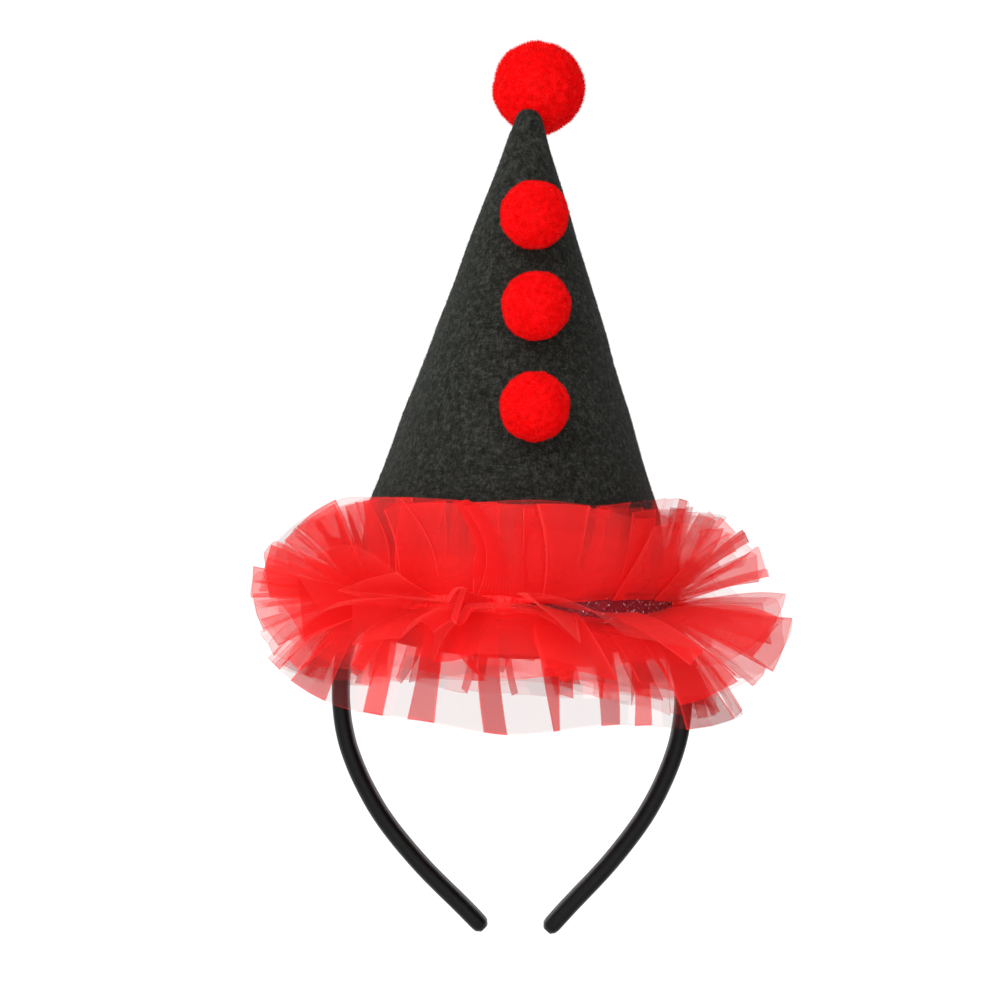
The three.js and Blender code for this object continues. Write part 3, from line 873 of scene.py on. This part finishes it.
@dataclass
class Pompom:
    """A pompom of clipped yarn: a dense ball of fine strands on a lumpy heart.

    Attributes:
        name: The name of the solid that it stands for.
        centre: Its middle.
        radius: To the tips of the strands.
        seed: What its scatter and lumps start from.
        pile: The length of the strands that shows.
        density: Strands a square metre.
    """

    name: str
    centre: Vector
    radius: float
    seed: int
    pile: float = 1.1 * MM
    density: float = 6e6

    def lump(self, out: Vector) -> float:
        """Returns how far the heart swells in a direction, as a share of the radius."""
        broad = noise.noise(out * 2.2 + Vector((self.seed, 0, 0))) * 0.045
        tufts = noise.noise(out * 6.5 + Vector((0, self.seed, 0))) * 0.035
        return broad + tufts

    def build(self, material: bpy.types.Material, press: Vector | None) -> bpy.types.Object:
        """Builds and dresses the pompom.

        Args:
            material: The yarn's material.
            press: A point on the felt that the pompom presses flat on, or None.

        Returns:
            The finished piece.
        """
        deselect()
        heart = self.radius - self.pile * 0.6
        bpy.ops.mesh.primitive_ico_sphere_add(subdivisions=6, radius=heart, location=self.centre)
        ball = bpy.context.object
        apply_place(ball)
        for vertex in ball.data.vertices:
            out = (vertex.co - self.centre).normalized()
            vertex.co += out * self.lump(out) * self.radius
        away = (self.centre - press).normalized() if press else None
        if press:
            pick(ball)
            bpy.ops.object.mode_set(mode="EDIT")
            bpy.ops.mesh.select_all(action="SELECT")
            bpy.ops.mesh.bisect(plane_co=press, plane_no=away, use_fill=True, clear_inner=True)
            bpy.ops.object.mode_set(mode="OBJECT")
        smooth(ball, 60)
        pile = Nap(self.density, self.pile * 0.5, self.pile, 0.1 * MM, 0, 0, 0.7, self.seed)
        pile.grow(ball, lambda middle, normal: not press or normal.dot(away) > -0.93)
        dress(ball, material)
        return hand_over(ball, self.name.replace("pompom", "yarn_pompom"), Slot.POMPOM, [self.name])


@dataclass
class GlitterStrip:
    """The strip of dark glitter ribbon that the ruffle is gathered on."""

    radius: float
    height: float = 9 * MM
    below_seat: float = 17 * MM
    wall: float = 1.0 * MM

    def build(self) -> bpy.types.Object:
        """Builds and dresses the strip and strews its flakes."""
        deselect()
        middle = self.height / 2 - self.below_seat
        bpy.ops.mesh.primitive_cylinder_add(
            vertices=180, radius=self.radius, depth=self.height, end_fill_type="NOTHING",
            location=(0, 0, middle))
        strip = bpy.context.object
        apply_place(strip)
        bpy.ops.object.mode_set(mode="EDIT")
        bpy.ops.mesh.select_all(action="SELECT")
        bpy.ops.mesh.subdivide(number_cuts=3)
        bpy.ops.object.mode_set(mode="OBJECT")
        for vertex in strip.data.vertices:
            p = vertex.co
            out = Vector((p.x, p.y, 0)).normalized()
            p += out * (noise.noise(Vector((p.x, p.y, p.z * 2)) / (5 * MM)) * 0.4 * MM)
        apply_modifier(strip, "SOLIDIFY", thickness=self.wall, offset=1)
        smooth(strip, 50)
        flakes = Nap(1.0e6, 0.12 * MM, 0.35 * MM, 0.46 * MM, 0, 0, 0.8, seed=5)
        flakes.grow(strip, lambda centre, normal: normal.dot(Vector((centre.x, centre.y, 0))) > 0)
        finish = GlitterFinish()
        flakes.dress_both(strip, finish.ribbon_material(), finish.flake_material())
        apply_place(strip, HAT_TURN)
        return hand_over(strip, "glitter_strip", Slot.GLITTER, ["gather_band"])


@dataclass(frozen=True)
class Fall:
    """How a ply falls from the strip.

    Attributes:
        leave: How steeply it leaves the strip, in degrees above level.
        arrive: How steeply it reaches its hem.
        length: Its length from strip to hem.
    """

    leave: float
    arrive: float
    length: float


@dataclass(frozen=True)
class Ply:
    """One ply of tulle, gathered at its start and splayed to its hem.

    Attributes:
        name: The piece's name.
        node: The solid that it stands for.
        start: Where it starts on the strip, as a share of the strip's height.
        side: How it falls at the hat's sides.
        front: How it falls in front, where the plies lie close to the felt.
        folds: How many pleats go round.
        lap: How wide its pleats' laps are at the hem, as a share of a pleat's pitch.
        depth: How deep its pleats are at the hem.
        sway: How unevenly its pleats are splayed, as a share of a pleat's pitch.
        sheer: How much of the light one smooth ply stops in front.
        folded: The same where a pleat folds back.
        seed: What its unevenness starts from.
    """

    name: str
    node: str
    start: float
    side: Fall
    front: Fall
    folds: int
    lap: float
    depth: float
    sway: float
    sheer: float
    folded: float
    seed: int


@dataclass(frozen=True)
class Sector:
    """How the ruffle lies in one eighth of the turn round the hat.

    Attributes:
        lift: How far the middle plies are lifted, in degrees.
        reach: The length of the plies where they stand out, as a share.
        top: The length of the upper plies where they stand on the felt, as a share.
        hem: The length of the lower plies where they hang, as a share.
        flute: How deep the middle plies' pleats are, as a share.
        parting: How far the plies part on the strip and leave it bare.
        frontal: How far the plies' fall is the front one.
        thick: How dense the net is, as a share.
    """

    lift: float
    reach: float
    top: float
    hem: float
    flute: float
    parting: float
    frontal: float
    thick: float


@dataclass
class TulleRuffle:
    """The ruffle: plies of red net gathered on the glitter strip, whose pleats splay up, out and down.

    Attributes:
        strip: The strip that the plies start on.
        finish: The net's finish.
        clearance: How far the plies start off the strip.
        rows: Points from strip to hem.
        panel: Points across a pleat's face.
        fold_edge: The width of the dense edge where the net is folded, which is painted lighter as a highlight, as
            a share of a face.
        hem_edge: The same at the hem, as a share of the ply's length.
        crimp: How deep the fine gathers are at the strip.
        crimp_reach: The share of a ply's length that the fine gathers reach.
        parting: The height on the strip that the plies part from, as a share.
    """

    strip: GlitterStrip
    finish: TulleFinish
    clearance: float = 0.5 * MM
    rows: int = 17
    panel: int = 8
    fold_edge: float = 0.025
    hem_edge: float = 0.012
    crimp: float = 0.3 * MM
    crimp_reach: float = 0.3
    parting: float = 0.6
    # From the front round by way of the wearer's left
    SECTORS = (
        Sector(lift=-8, reach=1.00, top=1.0, hem=1.00, flute=0.8, parting=-0.6, frontal=1.0, thick=1.0),
        Sector(lift=-36, reach=0.98, top=0.83, hem=0.74, flute=0.4, parting=1.6, frontal=0.9, thick=0.95),
        Sector(lift=-3, reach=1.00, top=0.95, hem=0.9, flute=1.0, parting=0.4, frontal=0.05, thick=1.0),
        Sector(lift=0, reach=0.98, top=1.0, hem=0.96, flute=1.0, parting=-0.3, frontal=0.05, thick=1.0),
        Sector(lift=5, reach=0.97, top=1.0, hem=0.94, flute=1.0, parting=-0.3, frontal=0.7, thick=1.0),
        Sector(lift=0, reach=0.96, top=1.0, hem=0.96, flute=1.0, parting=-0.4, frontal=0.05, thick=1.0),
        Sector(lift=2, reach=0.85, top=1.0, hem=0.98, flute=1.0, parting=-0.5, frontal=0.0, thick=0.95),
        Sector(lift=14, reach=0.95, top=1.04, hem=0.95, flute=1.25, parting=-0.7, frontal=0.8, thick=1.05),
    )

    def plies(self) -> list[Ply]:
        """Returns the plies, from the top down."""
        return [
            Ply("tulle_up_1", "tulle_upper_inner", 1.02, Fall(84, 76, 31 * MM), Fall(86, 83, 33 * MM),
                folds=20, lap=0.34, depth=1.3 * MM, sway=0.2, sheer=0.26, folded=0.5, seed=1),
            Ply("tulle_up_2", "tulle_upper_inner", 0.92, Fall(68, 58, 33 * MM), Fall(80, 75, 33 * MM),
                folds=19, lap=0.38, depth=2.2 * MM, sway=0.24, sheer=0.3, folded=0.54, seed=2),
            Ply("tulle_up_3", "tulle_upper_outer", 0.82, Fall(46, 34, 35 * MM), Fall(77, 71, 35 * MM),
                folds=17, lap=0.38, depth=3.8 * MM, sway=0.22, sheer=0.37, folded=0.56, seed=3),
            Ply("tulle_up_4", "tulle_upper_outer", 0.72, Fall(28, 17, 36 * MM), Fall(70, 64, 37 * MM),
                folds=16, lap=0.36, depth=4.6 * MM, sway=0.24, sheer=0.37, folded=0.56, seed=4),
            Ply("tulle_mid_1", "tulle_middle", 0.50, Fall(8, 2, 40 * MM), Fall(8, 2, 37 * MM),
                folds=13, lap=0.36, depth=7.5 * MM, sway=0.26, sheer=0.4, folded=0.6, seed=6),
            Ply("tulle_mid_2", "tulle_middle", 0.40, Fall(-6, -14, 41 * MM), Fall(-12, -24, 38 * MM),
                folds=13, lap=0.36, depth=7 * MM, sway=0.26, sheer=0.4, folded=0.6, seed=7),
            Ply("tulle_low_1", "tulle_lower_outer", 0.26, Fall(-26, -34, 39 * MM), Fall(-50, -62, 28 * MM),
                folds=15, lap=0.36, depth=4.2 * MM, sway=0.24, sheer=0.32, folded=0.56, seed=8),
            Ply("tulle_low_2", "tulle_lower_outer", 0.16, Fall(-42, -51, 42 * MM), Fall(-76, -81, 41.5 * MM),
                folds=19, lap=0.34, depth=2.4 * MM, sway=0.18, sheer=0.13, folded=0.72, seed=9),
            Ply("tulle_low_3", "tulle_lower_inner", 0.04, Fall(-60, -67, 38 * MM), Fall(-82, -86, 24 * MM),
                folds=18, lap=0.32, depth=1.8 * MM, sway=0.2, sheer=0.2, folded=0.5, seed=10),
        ]

    def around(self, azimuth: np.ndarray, what: str) -> np.ndarray:
        """Returns a value of the sectors round the hat, eased between one and the next."""
        table = np.array([getattr(sector, what) for sector in self.SECTORS])
        place = (azimuth / FULL_TURN * len(table)) % len(table)
        row = np.floor(place).astype(int) % len(table)
        share = place - np.floor(place)
        eased = share * share * (3 - 2 * share)
        return table[row] * (1 - eased) + table[(row + 1) % len(table)] * eased

    def reaches(self) -> np.ndarray:
        """Returns how far down its ply each row lies, as a share, with a narrow row at the hem."""
        return np.array([*np.linspace(0, 1 - self.hem_edge, self.rows - 1), 1])

    def pleat_columns(self) -> tuple[np.ndarray, np.ndarray, np.ndarray]:
        """Returns shares of the way across a pleat's first face, its fold back and its second face."""
        face = np.linspace(0, 1, self.panel)
        first = np.array([*face[:-1], 1 - self.fold_edge])
        back = np.array([0, 2 * self.fold_edge, 0.5, 1 - 2 * self.fold_edge])
        second = np.array([0, self.fold_edge, *face[1:-1]])
        return first, back, second

    def pleats(self, ply: Ply) -> tuple[np.ndarray, np.ndarray]:
        """Lays out the pleats of a ply.

        Args:
            ply: The ply.

        Returns:
            Azimuths in radians and offsets from the ply's smooth surface in metres, one row of each for
            every row of the ply and one column for every step along its cloth.
        """
        random = np.random.default_rng(ply.seed)
        count = ply.folds
        widths = 1 + 0.5 * random.uniform(-1, 1, count)
        edges = np.concatenate([[0], np.cumsum(widths)]) / widths.sum()
        sway, curl = random.normal(0, ply.sway, count + 1), random.normal(0, ply.sway / 2, count + 1)
        sway[-1], curl[-1] = sway[0], curl[0]
        closing = random.random(count) < 0.4
        hem_laps = np.where(
            closing, random.uniform(0.02, 0.15, count), random.uniform(0.8, 1.25, count) * ply.lap)
        start_laps = random.uniform(0.3, 0.5, count)
        tilts = random.normal(0, 0.09, count)
        sides = random.choice([-1, 1], count, p=[0.3, 0.7])
        depths = ply.depth * random.uniform(0.6, 1.3, count)
        bows = ply.depth * random.uniform(-0.5, 0.9, (2, count))
        first, back, second = self.pleat_columns()
        crimps = random.normal(0, 1, count * (len(first) + len(back) + len(second)))
        azimuths, offsets = [], []
        for r in self.reaches():
            turns, lifts = [], []
            for k in range(count):
                low, high = (
                    edges[n] + (sway[n] * r + curl[n] * math.sin(math.pi * r)) / count for n in (k, k + 1))
                lap = start_laps[k] * (1 - r) + hem_laps[k] * r
                fore = 0.5 + lap / 2 + tilts[k] * r
                aft = fore - lap
                path = np.concatenate([first * fore, fore - back * lap, aft + second * (1 - aft)])
                turns.append(low + path * (high - low))
                deep = depths[k] * (0.25 + 0.75 * r) * sides[k]
                swell = r ** 0.5
                lifts.append(np.concatenate([
                    first * deep + np.sin(np.pi * first) * swell * bows[0, k],
                    deep - 2 * deep * back,
                    deep * (second - 1) + np.sin(np.pi * second) * swell * bows[1, k],
                ]))
            gathered = max(0, 1 - r / self.crimp_reach) ** 1.5
            azimuths.append(np.concatenate(turns) * FULL_TURN)
            offsets.append(np.concatenate(lifts) + crimps * self.crimp * gathered)
        return np.array(azimuths), np.array(offsets)

    def waves(self, azimuth: np.ndarray, seed: int, count: int) -> list[np.ndarray]:
        """Returns slow waves round the hat, each about one high."""
        random = np.random.default_rng(seed)
        waves = []
        for _ in range(count):
            weights = random.normal(0, 0.31, (2, 6))
            waves.append(sum(
                weights[0, n] * np.sin((n + 2) * azimuth) + weights[1, n] * np.cos((n + 2) * azimuth)
                for n in range(6)))
        return waves

    def surface(self, ply: Ply) -> tuple[np.ndarray, np.ndarray]:
        """Returns the points of a ply and their azimuths, by row and column."""
        azimuth, offset = self.pleats(ply)
        reach = self.reaches()[:, None]
        tilt_wave, length_wave = self.waves(azimuth, ply.seed + 100, 2)
        frontal = self.around(azimuth, "frontal")
        tilt = (4.5 - 2.5 * frontal) * tilt_wave
        front_length = ply.front.length
        if ply.node == "tulle_middle":
            tilt = tilt + self.around(azimuth, "lift")
            offset = offset * self.around(azimuth, "flute")
        else:
            offset = offset * (1 - 0.45 * frontal)
            front_length = front_length * self.around(azimuth, "hem" if "lower" in ply.node else "top")
        leave = ply.side.leave + (ply.front.leave - ply.side.leave) * frontal + tilt / 2
        arrive = ply.side.arrive + (ply.front.arrive - ply.side.arrive) * frontal + tilt
        side_length = ply.side.length * self.around(azimuth, "reach")
        length = (side_length + (front_length - side_length) * frontal) * (1 + 0.03 * length_wave)
        begin = np.radians(leave)
        bend = np.radians(arrive - leave) * reach
        bend = np.where(np.abs(bend) < 1e-4, 1e-4, bend)
        out = reach * length * (np.sin(begin + bend) - np.sin(begin)) / bend
        up = reach * length * (np.cos(begin) - np.cos(begin + bend)) / bend
        end = begin + bend
        radius = self.start_radius(azimuth) + out - offset * np.sin(end)
        z = self.start_height(azimuth, ply.start) + up + offset * np.cos(end)
        return np.stack([radius * np.sin(azimuth), -radius * np.cos(azimuth), z], axis=-1), azimuth

    def start_radius(self, azimuth: np.ndarray) -> np.ndarray:
        """Returns how far from the hat's axis the plies start, which is more over the felt's seam."""
        from_back = np.abs(azimuth % FULL_TURN - math.pi)
        seam = np.clip(1 - (from_back - math.radians(16)) / math.radians(9), 0, 1)
        return self.strip.radius + self.strip.wall + self.clearance + self.crimp + seam * 1.8 * MM

    def start_height(self, azimuth: np.ndarray, start: float) -> np.ndarray:
        """Returns how high a ply starts, from the share of the strip's height that it starts at."""
        share = self.parting + (start - self.parting) * (1 + self.around(azimuth, "parting"))
        return share * self.strip.height - self.strip.below_seat

    def build_ply(self, ply: Ply, materials: Sequence[bpy.types.Material]) -> bpy.types.Object:
        points, azimuth = self.surface(ply)
        rows, columns = azimuth.shape
        faces = [
            (i * columns + j, i * columns + (j + 1) % columns, (i + 1) * columns + (j + 1) % columns,
             (i + 1) * columns + j)
            for i in range(rows - 1) for j in range(columns)
        ]
        sheet = mesh_object(ply.name, points.reshape(-1, 3), faces)
        sheet.data.polygons.foreach_set("material_index", self.densities(ply, azimuth).ravel())
        middle_row = points[rows // 2]
        steps = np.linalg.norm(np.roll(middle_row, -1, axis=0) - middle_row, axis=1)
        across = np.concatenate([[0], np.cumsum(steps)])
        width, length = float(across[-1]), ply.side.length
        self.unwrap(sheet, across, self.reaches() * length)
        smooth(sheet, 40)
        for material in materials:
            sheet.data.materials.append(material)
        apply_place(sheet, HAT_TURN)
        hand_over(sheet, ply.name, Slot.TULLE, [ply.node])
        return sheet

    def densities(self, ply: Ply, azimuth: np.ndarray) -> np.ndarray:
        """Returns for each face of a ply the number of the material that is as dense as the net is there.

        Args:
            ply: The ply.
            azimuth: The azimuths of its points, by row and column.
        """
        finish = self.finish
        random = np.random.default_rng(ply.seed + 200)
        first, back, second = (len(part) for part in self.pleat_columns())
        pleat = first + back + second
        count = azimuth.shape[1] // pleat
        clear_at = np.repeat(random.uniform(0.5, 0.95, count), pleat)
        unevenness = np.repeat(random.normal(0, 0.03, count), pleat)
        azimuth = azimuth[:-1]
        frontal = self.around(azimuth, "frontal")
        thick = self.around(azimuth, "thick")
        spans = np.diff(azimuth[:, ::pleat], axis=1, append=azimuth[:, :1] + FULL_TURN)
        crowded = np.repeat(np.clip(FULL_TURN / count / np.maximum(spans, 1e-3), 0.4, 2.2), pleat, axis=1)
        sheer = (finish.side_sheer + (ply.sheer - finish.side_sheer) * frontal) * thick
        sheer = 1 - (1 - sheer) ** (crowded ** 1.2) + unevenness
        folded = (finish.side_folded + (ply.folded - finish.side_folded) * frontal) * thick + unevenness
        reach = self.reaches()
        middle = (reach[:-1] + reach[1:])[:, None] / 2
        gathered = np.clip(1 - middle / clear_at, 0, 1) ** 1.3
        alpha = sheer + (finish.gathered - sheer) * gathered
        step = np.arange(azimuth.shape[1]) % pleat
        in_fold = (step >= first) & (step < first + back)
        # Faces along a fold's edge take the last material: dense net with a painted highlight.
        on_highlit_edge = (step == first - 1) | (step == first) | (step == first + back - 1) | (step == first + back)
        alpha = np.where(in_fold, np.maximum(alpha, folded), alpha)
        alpha[-1] += finish.hem
        return np.where(on_highlit_edge, finish.levels, finish.level(alpha))

    def unwrap(self, sheet: bpy.types.Object, across: np.ndarray, down: np.ndarray) -> None:
        """Gives a ply a UV map in metres of flat cloth.

        Args:
            sheet: The ply's object, with a face for every step down and across.
            across: How far along the cloth each column lies, and the whole width last.
            down: How far from the strip each row lies.
        """
        columns = len(across) - 1
        i, j = np.divmod(np.arange((len(down) - 1) * columns), columns)
        uv = np.zeros((len(i) * 4, 2))
        for corner, (row, column) in enumerate(((0, 0), (0, 1), (1, 1), (1, 0))):
            uv[corner::4, 0] = across[j + column]
            uv[corner::4, 1] = down[i + row]
        layer = sheet.data.uv_layers.new(name="cloth")
        layer.data.foreach_set("uv", uv.ravel())

    def build(self) -> None:
        """Builds every ply and the threads."""
        materials = self.finish.materials()
        for ply in self.plies():
            self.build_ply(ply, materials)
        self.build_threads()

    def build_threads(self) -> None:
        """Builds the two gathering threads, which swell to rolls of net where the plies aren't parted."""
        threads = []
        for start in (0.98, 0.1):
            deselect()
            bpy.ops.mesh.primitive_torus_add(
                major_segments=360, minor_segments=10, major_radius=self.strip.radius,
                minor_radius=0.35 * MM)
            thread = bpy.context.object
            apply_place(thread)
            for vertex in thread.data.vertices:
                p = vertex.co
                around = np.array([math.atan2(p.x, -p.y) % FULL_TURN])
                out = Vector((p.x, p.y, 0)).normalized()
                middle = out * self.strip.radius
                swell = 1 + 5 * max(0, -float(self.around(around, "parting")[0]))
                swell *= 1 + 0.5 * noise.noise(middle / (5 * MM))
                puckers = noise.noise(p / (4 * MM)) * 0.3 * MM
                radius = self.start_radius(around)[0] + (0.3 + 0.2 * swell) * MM + puckers
                height = self.start_height(around, start)[0] + noise.noise(p / (9 * MM)) * 0.5 * MM
                vertex.co = (p - middle) * swell + out * radius + Vector((0, 0, height))
            threads.append(thread)
        thread = join(threads)
        smooth(thread, 60)
        dress(thread, self.finish.cord())
        apply_place(thread, HAT_TURN)
        hand_over(thread, "gather_threads", Slot.TULLE)


@dataclass
class Studio:
    """A white studio: a broad pale floor, soft lamps and a camera level with the middle of the hat.

    Attributes:
        field: The width of what the camera sees, at the hat.
        distance: From the camera to the hat.
        aim: What the middle of the picture looks at.
    """

    field: float = 360 * MM
    distance: float = 1.1
    aim: tuple[float, float, float] = (-4.3 * MM, 0, 24.1 * MM)
    floor_height: float = -0.3

    def build(self) -> None:
        """Builds the floor, the lamps, the sky and the camera."""
        deselect()
        bpy.ops.mesh.primitive_circle_add(
            vertices=64, radius=6, fill_type="NGON", location=(0, 0, self.floor_height))
        floor = bpy.context.object
        floor.name = "floor"
        apply_place(floor)
        wiring = Wiring("floor_paint")
        stops = [(0, (0.95, 0.95, 0.95)), (1, (0.97, 0.97, 0.97))]
        wiring.colour(wiring.ramp(wiring.noise(wiring.place(), 0.2), stops))
        wiring.set(Roughness=0.95, Emission_Color=(1, 1, 1, 1), Emission_Strength=0.12)
        dress(floor, wiring.material)
        world = bpy.data.worlds.new("studio")
        world.use_nodes = True
        world.node_tree.nodes["Background"].inputs["Color"].default_value = (1, 1, 1, 1)
        world.node_tree.nodes["Background"].inputs["Strength"].default_value = 1.06
        bpy.context.scene.world = world
        self.lamp("key", (-0.7, -1.1, 1.0), 0.6, 7.5)
        self.lamp("fill", (0.9, -1.0, 0.3), 0.9, 2)
        self.lamp("streak", (-0.05, -1.3, -0.05), 0.2, 1.2)
        self.flag()
        camera_data = bpy.data.cameras.new("camera")
        camera_data.sensor_width = 36
        camera_data.lens = 36 * self.distance / self.field
        camera = bpy.data.objects.new("camera", camera_data)
        bpy.context.scene.collection.objects.link(camera)
        camera.location = (self.aim[0], self.aim[1] - self.distance, self.aim[2])
        camera.rotation_euler = (math.pi / 2, 0, 0)
        bpy.context.scene.camera = camera

    def flag(self) -> None:
        """Stands a black card out of sight on the right, which keeps some of the light off that side."""
        deselect()
        bpy.ops.mesh.primitive_plane_add(size=0.6, location=(0.33, -0.12, 0.15), rotation=(0, math.pi / 2, 0))
        card = bpy.context.object
        card.name = "flag"
        card.visible_camera = False
        apply_place(card)
        wiring = Wiring("flag_cloth")
        stops = [(0, (0.01, 0.01, 0.01)), (1, (0.02, 0.02, 0.02))]
        wiring.colour(wiring.ramp(wiring.noise(wiring.place(), 0.05), stops))
        wiring.set(Roughness=1.0)
        dress(card, wiring.material)

    def lamp(self, name: str, place: Sequence[float], size: float, power: float) -> None:
        """Adds a square soft lamp that faces the hat."""
        data = bpy.data.lights.new(name, "AREA")
        data.size = size
        data.energy = power
        lamp = bpy.data.objects.new(name, data)
        bpy.context.scene.collection.objects.link(lamp)
        lamp.location = place
        lamp.rotation_euler = (Vector(self.aim) - Vector(place)).to_track_quat("-Z", "Y").to_euler()


def main() -> None:
    """Builds the hat, piece by piece, and its studio."""
    logging.basicConfig(level=logging.INFO, format="%(name)s %(message)s")
    bpy.context.scene.view_settings.view_transform = "Standard"
    Studio().build()
    SatinBand().build()
    cone = FeltCone()
    cone.build()
    strip = GlitterStrip(radius=cone.radius(-17 * MM) + 0.45 * MM)
    strip.build()
    TulleRuffle(strip, TulleFinish()).build()
    yarn = PompomFinish().material()
    radius = 12.2 * MM
    rows = (
        ("pompom_front_top", 0.795, 7),
        ("pompom_front_middle", 0.627, 7.5),
        ("pompom_front_bottom", 0.445, 6.5),
    )
    for seed, (name, share, azimuth) in enumerate(rows):
        centre = cone.front_pompom_place(share, azimuth, radius - 3.4 * MM)
        felt = cone.front_pompom_place(share, azimuth, 0.3 * MM)
        Pompom(name, centre, radius, seed + 21).build(yarn, felt)
    radius = 16.3 * MM
    tip = Vector((0, 0, cone.height - cone.rim_below_seat))
    centre = HAT_TURN @ (Vector((0.2, 0.64, 0.59)) * radius + tip)
    Pompom("pompom_tip", centre, radius + 0.6 * MM, 35, pile=1.4 * MM, density=5e6).build(yarn, None)


if __name__ == "__main__":
    main()
